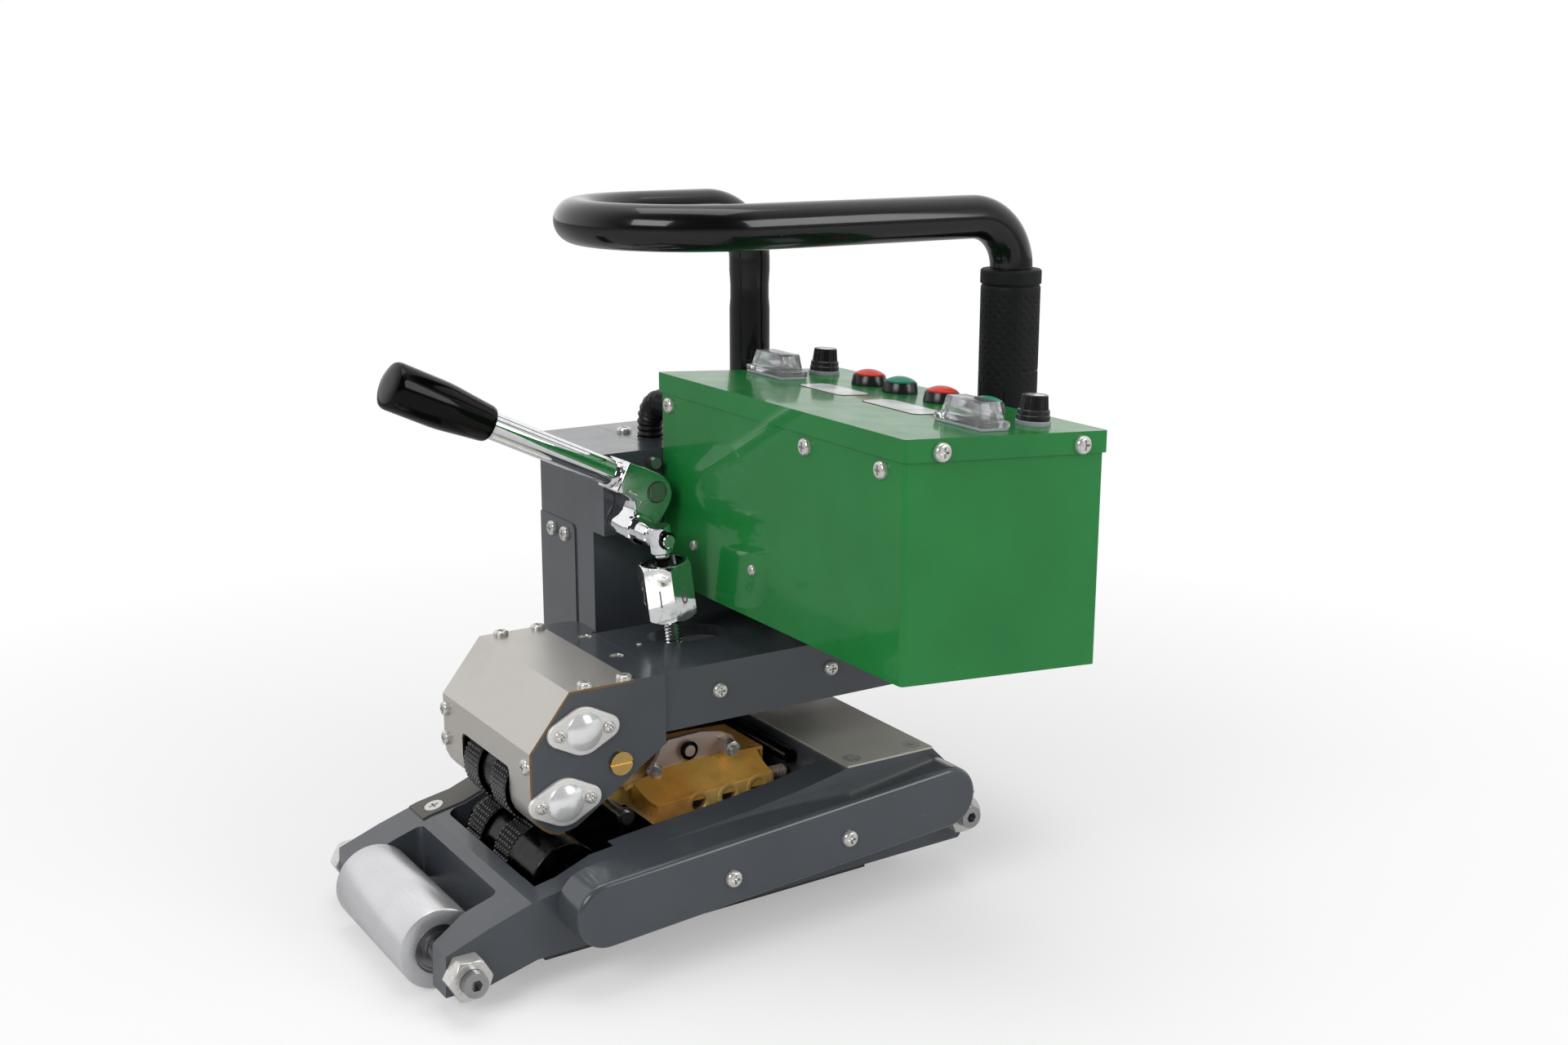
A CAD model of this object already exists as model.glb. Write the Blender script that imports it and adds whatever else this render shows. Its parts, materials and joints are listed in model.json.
"""Looks of a self-propelled hot-wedge welder for plastic liner sheet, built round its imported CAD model.

Sizes are in millimetres in the part's shop frame: x = 0 on the front roller's axle with +X to the
rear, y = 0 on the chassis centre line with -Y the operator's near side, z = 0 on the ground. The
Bench class turns them into metres in the row frame.
"""
from __future__ import annotations

import sys

import json
import logging
import math
from collections.abc import Iterable
from dataclasses import dataclass, field
from enum import Enum

import bmesh
import bpy
from mathutils import Matrix, Vector

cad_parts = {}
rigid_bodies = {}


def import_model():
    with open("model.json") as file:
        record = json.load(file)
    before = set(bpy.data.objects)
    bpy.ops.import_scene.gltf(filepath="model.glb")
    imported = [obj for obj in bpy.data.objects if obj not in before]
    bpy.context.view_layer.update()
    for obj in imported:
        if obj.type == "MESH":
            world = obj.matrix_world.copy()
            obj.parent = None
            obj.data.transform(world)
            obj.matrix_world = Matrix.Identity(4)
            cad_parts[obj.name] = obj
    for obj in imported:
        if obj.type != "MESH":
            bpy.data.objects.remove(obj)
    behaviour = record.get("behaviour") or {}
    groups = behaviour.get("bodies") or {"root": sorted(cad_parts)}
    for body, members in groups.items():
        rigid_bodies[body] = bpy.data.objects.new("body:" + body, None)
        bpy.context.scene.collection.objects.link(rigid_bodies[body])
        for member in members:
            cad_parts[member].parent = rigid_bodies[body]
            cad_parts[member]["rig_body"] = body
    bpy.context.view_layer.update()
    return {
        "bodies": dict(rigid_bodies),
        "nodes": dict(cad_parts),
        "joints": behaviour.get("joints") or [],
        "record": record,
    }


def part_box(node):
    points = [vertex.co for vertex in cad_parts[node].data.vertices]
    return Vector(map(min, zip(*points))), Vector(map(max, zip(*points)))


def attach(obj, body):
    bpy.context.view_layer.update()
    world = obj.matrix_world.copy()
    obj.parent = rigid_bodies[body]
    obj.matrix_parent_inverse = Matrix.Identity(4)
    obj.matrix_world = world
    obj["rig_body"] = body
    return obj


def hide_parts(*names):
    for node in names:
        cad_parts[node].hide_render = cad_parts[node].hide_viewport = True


log = logging.getLogger("welder")
MM = 0.001
SAME_POINT = 0.0005
Colour = tuple[float, float, float]
Place = tuple[float, float, float]
Flat = tuple[float, float]
Profile = tuple[Flat, ...]
Socket = bpy.types.NodeSocket
UP, DOWN = Vector((0, 0, 1)), Vector((0, 0, -1))
NEAR, FAR = Vector((0, -1, 0)), Vector((0, 1, 0))
FRONT = Vector((-1, 0, 0))


class Axis(Enum):
    """Axes that shapes are turned about."""

    X = (1.0, 0.0, 0.0)
    Y = (0.0, 1.0, 0.0)
    Z = (0.0, 0.0, 1.0)


class Grain(Enum):
    """Direction in which a metal surface is brushed, as noise scales along X, Y and Z."""

    ALONG_X = (1.0, 45.0, 45.0)
    ALONG_Y = (45.0, 1.0, 45.0)
    TURNED_Y = (1.0, 60.0, 1.0)
    NONE = (1.0, 1.0, 1.0)


def arc(radius: float, first: float, sweep: float, steps: int, middle: float = 0.0) -> list[Flat]:
    """Points on an arc about (middle, 0), with both ends; angles in degrees."""
    turns = [math.radians(first + sweep * i / steps) for i in range(steps + 1)]
    return [(middle + radius * math.cos(turn), radius * math.sin(turn)) for turn in turns]


def fill(target: bpy.types.bpy_struct, **values: object) -> None:
    """Set several properties of a light, camera, text or modifier."""
    for name, value in values.items():
        setattr(target, name, value)


def put(name: str, data: bpy.types.ID) -> bpy.types.Object:
    """Make an object and link it to the scene."""
    made = bpy.data.objects.new(name, data)
    bpy.context.scene.collection.objects.link(made)
    return made


# ---------------------------------------------------------------- node graphs
class Graph:
    """A node tree that is filled from its texture coordinates up to its output."""

    def __init__(self, tree: bpy.types.NodeTree) -> None:
        """Empty the tree and start from the texture coordinates.

        Args:
            tree: a material's or a world's node tree.
        """
        tree.nodes.clear()
        self.tree = tree
        self.where = self.add("TexCoord").outputs

    def add(self, kind: str, **values: object) -> bpy.types.Node:
        """Add a node.

        Args:
            kind: the node's type name without its "ShaderNode".
            **values: properties of the node, or in_NAME or in_NUMBER for an input socket, which
                takes a constant or another node's output socket.

        Returns:
            The new node.
        """
        node = self.tree.nodes.new("ShaderNode" + kind)
        for key, value in values.items():
            if not key.startswith("in_"):
                setattr(node, key, value)
                continue
            name = key[3:].replace("_", " ")
            socket = node.inputs[int(name) if name.isdigit() else name]
            if isinstance(value, Socket):
                self.tree.links.new(value, socket)
            else:
                socket.default_value = value
        return node

    def noise(self, scale: float, grain: Grain = Grain.NONE, detail: float = 3.0) -> Socket:
        """Noise on Object coordinates.

        Args:
            scale: cells per metre.
            grain: how the noise is stretched.
            detail: octaves.

        Returns:
            The noise's value.
        """
        stretch = self.add("Mapping", in_Vector=self.where["Object"], in_Scale=grain.value)
        return self.add("TexNoise", in_Vector=stretch.outputs[0], in_Scale=scale,
                        in_Detail=detail).outputs["Fac"]

    def ramp(self, value: Socket, span: Flat, to: Flat, **more: object) -> Socket:
        """Map a span of values onto another one, clamped."""
        return self.add("MapRange", in_Value=value, in_From_Min=span[0], in_From_Max=span[1],
                        in_To_Min=to[0], in_To_Max=to[1], **more).outputs["Result"]

    def combine(self, operation: str, first: Socket, second: object) -> Socket:
        """Join two values by a Math node."""
        return self.add("Math", operation=operation, in_0=first, in_1=second).outputs[0]

    def mix(self, factor: Socket, first: Colour | Socket, second: Colour) -> Socket:
        """Mix two colours by a factor."""
        start = first if isinstance(first, Socket) else (*first, 1.0)
        return self.add("Mix", data_type="RGBA", in_0=factor, in_6=start, in_7=(*second, 1.0)).outputs[2]

    def blend(self, noise: Socket, span: Flat, first: Colour | Socket, second: Colour,
              most: float = 1.0) -> Socket:
        """Mix two colours over a span of a noise, up to a share of the second."""
        return self.mix(self.ramp(noise, span, (0.0, most)), first, second)

    def surface(self, colour: Socket, gloss: Socket, height: Socket, depth: float,
                **constants: object) -> None:
        """Finish the graph with a Principled shader.

        Args:
            colour: the base colour.
            gloss: the roughness.
            height: what the bump follows.
            depth: height of the bump from 0 to 1, in metres.
            **constants: the shader's other inputs, as in_NAME.
        """
        bump = self.add("Bump", in_Strength=1.0, in_Distance=depth, in_Height=height)
        shader = self.add("BsdfPrincipled", in_Base_Color=colour, in_Roughness=gloss,
                          in_Normal=bump.outputs[0], **constants)
        self.add("OutputMaterial", in_Surface=shader.outputs[0])


# ---------------------------------------------------------------- finishes
@dataclass(frozen=True)
class Finish:
    """What every finish has: its name, the record's slot that it belongs to and its base colour."""

    name: str
    slot: str
    base: Colour
    rough: float = 0.3
    ior: float = 1.5

    def material(self) -> bpy.types.Material:
        """The finish as a material, made on first use."""
        found = bpy.data.materials.get(self.name)
        if found is None:
            found = bpy.data.materials.new(self.name)
            found.use_nodes = True
            self.build(Graph(found.node_tree))
        return found

    def build(self, graph: Graph) -> None:
        """Fill the node tree. Each finish has its own."""
        raise NotImplementedError

    def shade(self, amount: float) -> Colour:
        """The base colour times an amount."""
        return (self.base[0] * amount, self.base[1] * amount, self.base[2] * amount)

    def gloss(self, low: float, high: float) -> Flat:
        """The roughness times two amounts."""
        return (self.rough * low, self.rough * high)


@dataclass(frozen=True)
class Paint(Finish):
    """Sprayed enamel with a little orange peel, uneven gloss and a few dust specks."""

    peel: float = 0.00002
    lacquer: float = 0.1
    dust: float = 1.0
    coat: float = 1.0
    dust_colour: Colour = (0.45, 0.46, 0.46)
    dust_cells: float = 190.0

    def build(self, graph: Graph) -> None:
        """Fill the node tree."""
        tone = graph.blend(graph.noise(18.0), (0.3, 0.7), self.shade(0.9), self.shade(1.08))
        cell = graph.add("TexVoronoi", feature="F1", in_Scale=self.dust_cells,
                         in_Vector=graph.where["Object"])
        part = graph.add("SeparateColor", in_Color=cell.outputs["Color"])
        near = graph.ramp(cell.outputs["Distance"], (0.03, 0.055), (1.0, 0.0))
        rare = graph.ramp(part.outputs["Red"], (0.955, 0.96), (0.0, 0.55 * self.dust))
        smear = graph.ramp(graph.noise(55.0, detail=5.0), (0.3, 0.75), self.gloss(0.8, 1.25))
        graph.surface(graph.mix(graph.combine("MULTIPLY", near, rare), tone, self.dust_colour), smear,
                      graph.noise(620.0, detail=1.0), self.peel, in_IOR=self.ior, in_Specular_IOR_Level=0.12,
                      in_Coat_Weight=self.coat, in_Coat_Roughness=self.lacquer)


@dataclass(frozen=True)
class Brushed(Finish):
    """Brushed or ground metal with hairlines, faint stains and a softer gloss along the grain."""

    grain: Grain = Grain.ALONG_X
    line: float = 0.000006
    stain: float = 0.85
    pitch: float = 90.0
    metal: float = 1.0

    def build(self, graph: Graph) -> None:
        """Fill the node tree."""
        hair = graph.noise(self.pitch, self.grain, 6.0)
        tone = graph.blend(hair, (0.25, 0.75), self.shade(0.93), self.shade(1.05))
        stained = graph.blend(graph.noise(22.0, detail=4.0), (0.52, 0.85), tone, self.shade(self.stain))
        graph.surface(stained, graph.ramp(hair, (0.2, 0.8), self.gloss(0.8, 1.25)), hair, self.line,
                      in_Metallic=self.metal, in_IOR=self.ior)


@dataclass(frozen=True)
class Plated(Finish):
    """Chrome or zinc plate with small scratches and dull patches."""

    rough: float = 0.08
    wear: float = 0.15
    pitch: float = 260.0
    dent: float = 0.00001
    metal: float = 1.0

    def build(self, graph: Graph) -> None:
        """Fill the node tree."""
        patch = graph.noise(self.pitch, detail=6.0)
        graph.surface(graph.blend(patch, (0.5, 0.72), self.base, self.shade(0.8)),
                      graph.ramp(patch, (0.48, 0.75), (self.rough, self.rough + self.wear)),
                      graph.noise(self.pitch * 0.45, detail=2.0), self.dent, in_Metallic=self.metal,
                      in_IOR=self.ior)


@dataclass(frozen=True)
class HeatedCopper(Finish):
    """Copper alloy with straw, orange and brown heat tints."""

    tint: Colour = (0.55, 0.17, 0.03)
    burnt: Colour = (0.13, 0.055, 0.035)
    metal: float = 0.3

    def build(self, graph: Graph) -> None:
        """Fill the node tree."""
        tone = graph.blend(graph.noise(26.0), (0.38, 0.62), self.base, self.tint)
        small = graph.noise(55.0, detail=4.0)
        graph.surface(graph.blend(small, (0.52, 0.86), tone, self.burnt, 0.6),
                      graph.ramp(small, (0.3, 0.75), self.gloss(0.8, 1.5)), graph.noise(300.0, detail=4.0),
                      0.00002, in_Metallic=self.metal, in_IOR=self.ior)


@dataclass(frozen=True)
class Moulded(Finish):
    """Moulded plastic or rubber with a fine skin texture."""

    skin: float = 0.00001
    shine: float = 0.5

    def build(self, graph: Graph) -> None:
        """Fill the node tree."""
        cloud = graph.noise(60.0, detail=4.0)
        graph.surface(graph.blend(cloud, (0.35, 0.7), self.shade(0.85), self.shade(1.2)),
                      graph.ramp(cloud, (0.3, 0.7), self.gloss(0.85, 1.15)), graph.noise(900.0, detail=2.0),
                      self.skin, in_IOR=self.ior, in_Specular_IOR_Level=self.shine)


@dataclass(frozen=True)
class Clear(Finish):
    """Clear soft plastic, slightly cloudy."""

    rough: float = 0.1
    ior: float = 1.42
    passing: float = 0.93

    def build(self, graph: Graph) -> None:
        """Fill the node tree."""
        cloud = graph.noise(120.0)
        graph.surface(graph.blend(cloud, (0.3, 0.7), self.shade(0.93), self.base),
                      graph.ramp(cloud, (0.3, 0.7), self.gloss(0.7, 1.5)), graph.noise(200.0, detail=2.0),
                      0.00004, in_IOR=self.ior, in_Transmission_Weight=self.passing)


class Finishes:
    """Every finish of the machine by its place."""

    CASTING = Paint("blue_grey_paint", "casting_paint", (0.054, 0.061, 0.071), 0.35, lacquer=0.16, coat=0.85)
    BOX = Paint("green_enamel", "box_paint", (0.009, 0.170, 0.033), 0.35, lacquer=0.07, peel=0.000008,
                dust=0.5, coat=0.5)
    TUBE = Paint("black_enamel", "black_gloss", (0.003, 0.003, 0.0035), 0.25, lacquer=0.09, dust=0.3,
                 coat=0.7)
    SKID = Paint("black_primer", "black_gloss", (0.01, 0.011, 0.013), 0.4, lacquer=0.3)
    COVER = Brushed("brushed_cover_sheet", "stainless", (0.56, 0.535, 0.50), 0.33, grain=Grain.ALONG_Y,
                    stain=0.9, metal=0.75)
    SCORCHED = Brushed("scorched_cut_edge", "stainless", (0.30, 0.19, 0.09), 0.45)
    DECK = Brushed("polished_deck_sheet", "stainless", (0.74, 0.71, 0.65), 0.46, line=0.000003, metal=0.7)
    STRIP = Brushed("wear_strip_sheet", "stainless", (0.10, 0.095, 0.085), 0.5, metal=0.2)
    EDGE = Brushed("link_plate_steel", "stainless", (0.74, 0.60, 0.52), 0.36, stain=0.75, metal=0.55)
    FLANGE = Brushed("flange_aluminium", "stainless", (0.90, 0.88, 0.86), 0.45, pitch=40.0, metal=0.65)
    DOME = Brushed("polished_cap_dome", "stainless", (0.92, 0.92, 0.92), 0.2, pitch=30.0, line=0.000002,
                   metal=0.5)
    ZINC = Plated("zinc_plate", "zinc", (0.68, 0.67, 0.64), 0.2, wear=0.2, pitch=420.0, metal=0.65)
    CHROME = Plated("chrome_plate", "chrome", (0.86, 0.87, 0.88), 0.035, wear=0.07, dent=0.000004)
    WORN_CHROME = Plated("worn_chrome_plate", "chrome", (0.84, 0.85, 0.85), 0.05, wear=0.2, pitch=380.0,
                         dent=0.00002)
    ETCHED = Plated("etched_mark", "chrome", (0.45, 0.45, 0.42), 0.55, wear=0.2)
    ROLLER = Brushed("turned_aluminium", "aluminium", (0.72, 0.72, 0.74), grain=Grain.ALONG_Y, pitch=60.0,
                     metal=0.8)
    STEEL = Brushed("machined_steel", "machine_steel", (0.42, 0.42, 0.43), grain=Grain.TURNED_Y)
    CHAIN = Plated("oiled_chain_steel", "machine_steel", (0.28, 0.27, 0.25), 0.28, wear=0.25)
    BLACKED = Plated("blacked_steel", "roller_black", (0.030, 0.029, 0.029), 0.2, wear=0.25, pitch=150.0)
    STUDS = Plated("blacked_studs", "roller_black", (0.11, 0.11, 0.11), 0.24, wear=0.3, pitch=500.0)
    COPPER = HeatedCopper("straw_copper", "copper", (0.98, 0.68, 0.22), 0.27, tint=(0.90, 0.42, 0.10))
    SHOE = HeatedCopper("orange_copper", "copper", (1.0, 0.60, 0.14), 0.24, tint=(0.97, 0.42, 0.07))
    BRASS = Brushed("turned_brass", "brass", (0.60, 0.40, 0.14), 0.25)
    RUBBER = Moulded("grip_rubber", "rubber", (0.0065, 0.007, 0.0075), 0.6, skin=0.00003, shine=0.22)
    BELLOWS = Moulded("bellows_rubber", "black_plastic", (0.006, 0.006, 0.0065), 0.38, shine=0.3)
    PLASTIC = Moulded("black_plastic", "black_plastic", (0.004, 0.004, 0.0045), 0.2, shine=0.35)
    KNOB = Moulded("polished_black_plastic", "black_plastic", (0.002, 0.0018, 0.0018), 0.1, skin=0.000003,
                   shine=0.16)
    SMOKE = Moulded("grey_ring_plastic", "clear_plastic", (0.34, 0.36, 0.38), 0.35)
    HOOD = Clear("clear_hood_plastic", "clear_plastic", (0.90, 0.91, 0.92))
    RED = Moulded("red_button_plastic", "red_plastic", (0.62, 0.030, 0.015), 0.32, shine=0.35)
    GREEN = Moulded("green_button_plastic", "green_plastic", (0.006, 0.19, 0.11), 0.32, shine=0.3)
    LEGEND = Moulded("legend_plate_film", "legend", (0.60, 0.62, 0.61), 0.25)
    BORDER = Moulded("legend_border_ink", "legend", (0.02, 0.022, 0.02), 0.4)
    BOARD = Moulded("circuit_board", "board", (0.02, 0.16, 0.06), 0.45)


# ---------------------------------------------------------------- workshop
class Shape:
    """A bmesh in millimetres, built in its own axes and then put in its place."""

    def __init__(self) -> None:
        """Start empty."""
        self.bm = bmesh.new()

    @classmethod
    def lathe(cls, profile: list[Flat] | Profile, steps: int = 48) -> Shape:
        """Spin a profile round +Z.

        Args:
            profile: points of (radius, height), from the bottom to the top.
            steps: facets of a full turn.

        Returns:
            The spun shape, closed where the profile ends on the axis.
        """
        shape = cls()
        verts = [shape.bm.verts.new((r, 0.0, h)) for r, h in profile]
        edges = [shape.bm.edges.new(pair) for pair in zip(verts, verts[1:])]
        bmesh.ops.spin(shape.bm, geom=verts + edges, cent=(0, 0, 0), axis=(0, 0, 1), angle=math.tau,
                       steps=steps, use_merge=True, use_duplicate=False)
        return shape.merged(SAME_POINT).outward()

    @classmethod
    def plate(cls, outline: list[Flat], height: float) -> Shape:
        """Extrude an outline of (x, y) corners along +Z."""
        shape = cls()
        face = shape.bm.faces.new([shape.bm.verts.new((x, y, 0.0)) for x, y in outline])
        grown = bmesh.ops.extrude_face_region(shape.bm, geom=[face], use_keep_orig=True)
        top = [v for v in grown["geom"] if isinstance(v, bmesh.types.BMVert)]
        bmesh.ops.translate(shape.bm, verts=top, vec=(0, 0, height))
        return shape.outward()

    @classmethod
    def box(cls, low: Place, high: Place) -> Shape:
        """A box between two corners."""
        shape = cls()
        bmesh.ops.create_cube(shape.bm, size=1.0)
        bmesh.ops.scale(shape.bm, vec=Vector(high) - Vector(low), verts=shape.bm.verts)
        return shape.move(*((Vector(high) + Vector(low)) / 2))

    def merged(self, distance: float) -> Shape:
        """Make points that are closer than a distance one."""
        bmesh.ops.remove_doubles(self.bm, verts=self.bm.verts, dist=distance)
        return self

    def outward(self) -> Shape:
        """Turn every face outwards."""
        bmesh.ops.recalc_face_normals(self.bm, faces=self.bm.faces)
        return self

    def strip(self, ring: list[bmesh.types.BMVert], other: list[bmesh.types.BMVert], closed: bool) -> None:
        """Fill the strip between two lines of points."""
        count = len(ring)
        for i in range(count if closed else count - 1):
            k = (i + 1) % count
            self.bm.faces.new((ring[i], other[i], other[k], ring[k]))

    def draw_out(self, edges: list[bmesh.types.BMEdge]) -> tuple[list, list]:
        """Extrude open edges on the spot.

        Returns:
            The new points, and the new edges between them.
        """
        made = bmesh.ops.extrude_edge_only(self.bm, edges=edges)["geom"]
        verts = [v for v in made if isinstance(v, bmesh.types.BMVert)]
        return verts, [e for e in made if isinstance(e, bmesh.types.BMEdge)
                       and e.verts[0] in verts and e.verts[1] in verts]

    def upright(self) -> list[bmesh.types.BMEdge]:
        """The edges that rise by more than 1 mm."""
        return [e for e in self.bm.edges if abs(e.verts[0].co.z - e.verts[1].co.z) > 1.0]

    def open_edges(self) -> list[bmesh.types.BMEdge]:
        """The edges with a face on one side only."""
        return [e for e in self.bm.edges if e.is_boundary]

    def round_edges(self, width: float, segments: int = 2, angle: float = 30.0) -> Shape:
        """Bevel the edges that are sharper than an angle in degrees.

        Args:
            width: bevel width in millimetres.
            segments: facets across the bevel.
            angle: edges flatter than this stay.

        Returns:
            This shape.
        """
        edges = [e for e in self.bm.edges
                 if len(e.link_faces) == 2 and e.calc_face_angle(0.0) > math.radians(angle)]
        bmesh.ops.bevel(self.bm, geom=edges, offset=width, offset_type="OFFSET", segments=segments,
                        profile=0.5, affect="EDGES", clamp_overlap=True, material=-1)
        return self

    @classmethod
    def joined(cls, parts: Iterable[Shape]) -> Shape:
        """One shape of several, which are used up."""
        shape = cls()
        for part in parts:
            shape.add(part)
        return shape

    def add(self, other: Shape) -> Shape:
        """Take in another shape's mesh, which is used up."""
        mesh = bpy.data.meshes.new("part")
        other.bm.to_mesh(mesh)
        other.bm.free()
        self.bm.from_mesh(mesh)
        bpy.data.meshes.remove(mesh)
        return self

    def move(self, x: float, y: float, z: float) -> Shape:
        """Shift the whole shape."""
        bmesh.ops.translate(self.bm, vec=(x, y, z), verts=self.bm.verts)
        return self

    def turn(self, degrees: float, axis: Axis) -> Shape:
        """Turn the whole shape round an axis through the origin."""
        matrix = Matrix.Rotation(math.radians(degrees), 3, Vector(axis.value))
        bmesh.ops.rotate(self.bm, cent=(0, 0, 0), matrix=matrix, verts=self.bm.verts)
        return self

    def aim(self, at: Place | Vector, along: Vector, roll: float = 0.0) -> Shape:
        """Point the shape's +Z along a direction and move its origin to a point.

        Args:
            at: where the origin goes, in shop millimetres.
            along: where +Z goes.
            roll: turn about the shape's own +Z first, in degrees.

        Returns:
            This shape.
        """
        turn = UP.rotation_difference(along.normalized()).to_matrix()
        spin = Matrix.Rotation(math.radians(roll), 3, "Z")
        bmesh.ops.transform(self.bm, matrix=Matrix.Translation(Vector(at)) @ (turn @ spin).to_4x4(),
                            verts=self.bm.verts)
        return self


class Pipe(Shape):
    """A tube drawn out step by step from an open ring."""

    def __init__(self, radius: float, start: Place, along: Vector, sides: int = 40) -> None:
        """Put down the first ring.

        Args:
            radius: outer radius.
            start: its centre.
            along: the direction of the tube.
            sides: facets round the tube.
        """
        super().__init__()
        self.rim = bmesh.ops.create_circle(self.bm, cap_ends=False, radius=radius, segments=sides)["verts"]
        self.ring = list(self.bm.edges)
        self.centre = Vector(start)
        self.along = along.normalized()
        self.aim(start, along)

    def run(self, length: float, grow: float = 1.0) -> Pipe:
        """Draw the tube straight on, and scale the new ring."""
        self.rim, self.ring = self.draw_out(self.ring)
        bmesh.ops.translate(self.bm, vec=self.along * length, verts=self.rim)
        self.centre += self.along * length
        return self.swell(grow)

    def swell(self, grow: float) -> Pipe:
        """Scale the last ring about its centre."""
        if grow != 1.0:
            bmesh.ops.scale(self.bm, vec=(grow, grow, grow), verts=self.rim,
                            space=Matrix.Translation(-self.centre))
        return self

    def bend(self, towards: Vector, radius: float, degrees: float, steps: int = 12,
             ribs: Flat | None = None) -> Pipe:
        """Draw the tube round a bend.

        Args:
            towards: direction from the tube to the bend's centre.
            radius: bend radius on the centre line.
            degrees: how far round.
            steps: rings in the bend.
            ribs: ring scales to alternate between, for a bellows.

        Returns:
            This pipe.
        """
        hub = self.centre + towards.normalized() * radius
        axis = self.along.cross(towards).normalized()
        spin = Matrix.Rotation(math.radians(degrees) / steps, 3, axis)
        for i in range(steps):
            self.rim, self.ring = self.draw_out(self.ring)
            bmesh.ops.rotate(self.bm, cent=hub, matrix=spin, verts=self.rim)
            self.centre = spin @ (self.centre - hub) + hub
            self.along = spin @ self.along
            if ribs:
                self.swell(ribs[i % 2])
        return self

    def close(self) -> Pipe:
        """Cap both ends."""
        bmesh.ops.holes_fill(self.bm, edges=self.open_edges(), sides=0)
        self.outward()
        return self


class Bench:
    """Makes pieces of finished shapes and dresses the CAD nodes."""

    weld: float = 0.000005
    flat_within: float = 0.6
    sharp_margin: float = 4.0

    def __init__(self, frame: dict) -> None:
        """Keep the frame and find the offset from the shop frame to the row frame.
        """
        self.frame = frame
        low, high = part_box("front_axle")
        deck_low, deck_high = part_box("rear_plate")
        self.offset = Vector(((low.x + high.x) / 2, (deck_low.y + deck_high.y) / 2, 0.0))

    def axle(self, joint: str) -> Place:
        """Where a joint's axis crosses the centre plane, in shop millimetres."""
        found = next(j for j in self.frame["joints"] if j["name"] == joint)
        point = (Vector(found["pos_m"]) - self.offset) / MM
        return (point.x, 0.0, point.z)

    def piece(self, name: str, shape: Shape, finish: Finish, body: str, replaces: tuple[str, ...] = (),
              sharp: float = 32.0) -> bpy.types.Object:
        """Turn a shape into a piece of the model.

        Args:
            name: the piece's name.
            shape: its mesh in shop millimetres; it is used up.
            finish: its finish.
            body: the CAD body that it rides on.
            replaces: CAD nodes that it stands for.
            sharp: edges beyond this angle, in degrees, stay crisp.

        Returns:
            The piece.
        """
        matrix = Matrix.Translation(self.offset) @ Matrix.Scale(MM, 4)
        bmesh.ops.transform(shape.bm, matrix=matrix, verts=shape.bm.verts)
        return self.finish_piece(name, shape.bm, finish, body, replaces, sharp)

    def finish_piece(self, name: str, bm: bmesh.types.BMesh, finish: Finish, body: str,
                     replaces: tuple[str, ...], sharp: float) -> bpy.types.Object:
        """Link a mesh, give it its material and tell the frame about it.

        Returns:
            The piece.
        """
        mesh = bpy.data.meshes.new(name)
        bm.to_mesh(mesh)
        bm.free()
        mesh.shade_smooth()
        mesh.set_sharp_from_angle(angle=math.radians(sharp))
        mesh.materials.clear()
        mesh.materials.append(finish.material())
        piece = put(name, mesh)
        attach(piece, body)
        if replaces:
            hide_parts(*replaces)
        log.info("piece %s on %s: %d faces, %s", name, body, len(mesh.polygons), finish.name)
        return piece

    def refined(self, node: str, finish: Finish, width: float, segments: int = 2,
                angle: float = 42.0) -> bpy.types.Object:
        """Stand in for a CAD node by its own shape with rounded edges.

        Args:
            node: the CAD node.
            finish: its finish.
            width: edge rounding in millimetres.
            segments: facets across the rounding.
            angle: edges flatter than this, in degrees, stay.

        Returns:
            The piece.
        """
        source = self.frame["nodes"][node]
        work = bmesh.new()
        work.from_mesh(source.data)
        bmesh.ops.remove_doubles(work, verts=work.verts, dist=self.weld)
        bmesh.ops.dissolve_limit(work, angle_limit=math.radians(self.flat_within), verts=work.verts,
                                 edges=work.edges)
        piece = self.finish_piece(node + "_rounded", work, finish, source["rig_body"], (node,),
                                  angle - self.sharp_margin)
        fill(piece.modifiers.new("rounding", "BEVEL"), width=width * MM, segments=segments,
             limit_method="ANGLE", angle_limit=math.radians(angle), miter_outer="MITER_ARC",
             use_clamp_overlap=True)
        fill(piece.modifiers.new("flat_faces", "WEIGHTED_NORMAL"), keep_sharp=True, weight=100)
        return piece

    def dress(self, node: str, finish: Finish) -> None:
        """Give a CAD node its material."""
        target = self.frame["nodes"][node]
        target.data.materials.clear()
        target.data.materials.append(finish.material())
        log.info("node %s: %s", node, finish.name)


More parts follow.
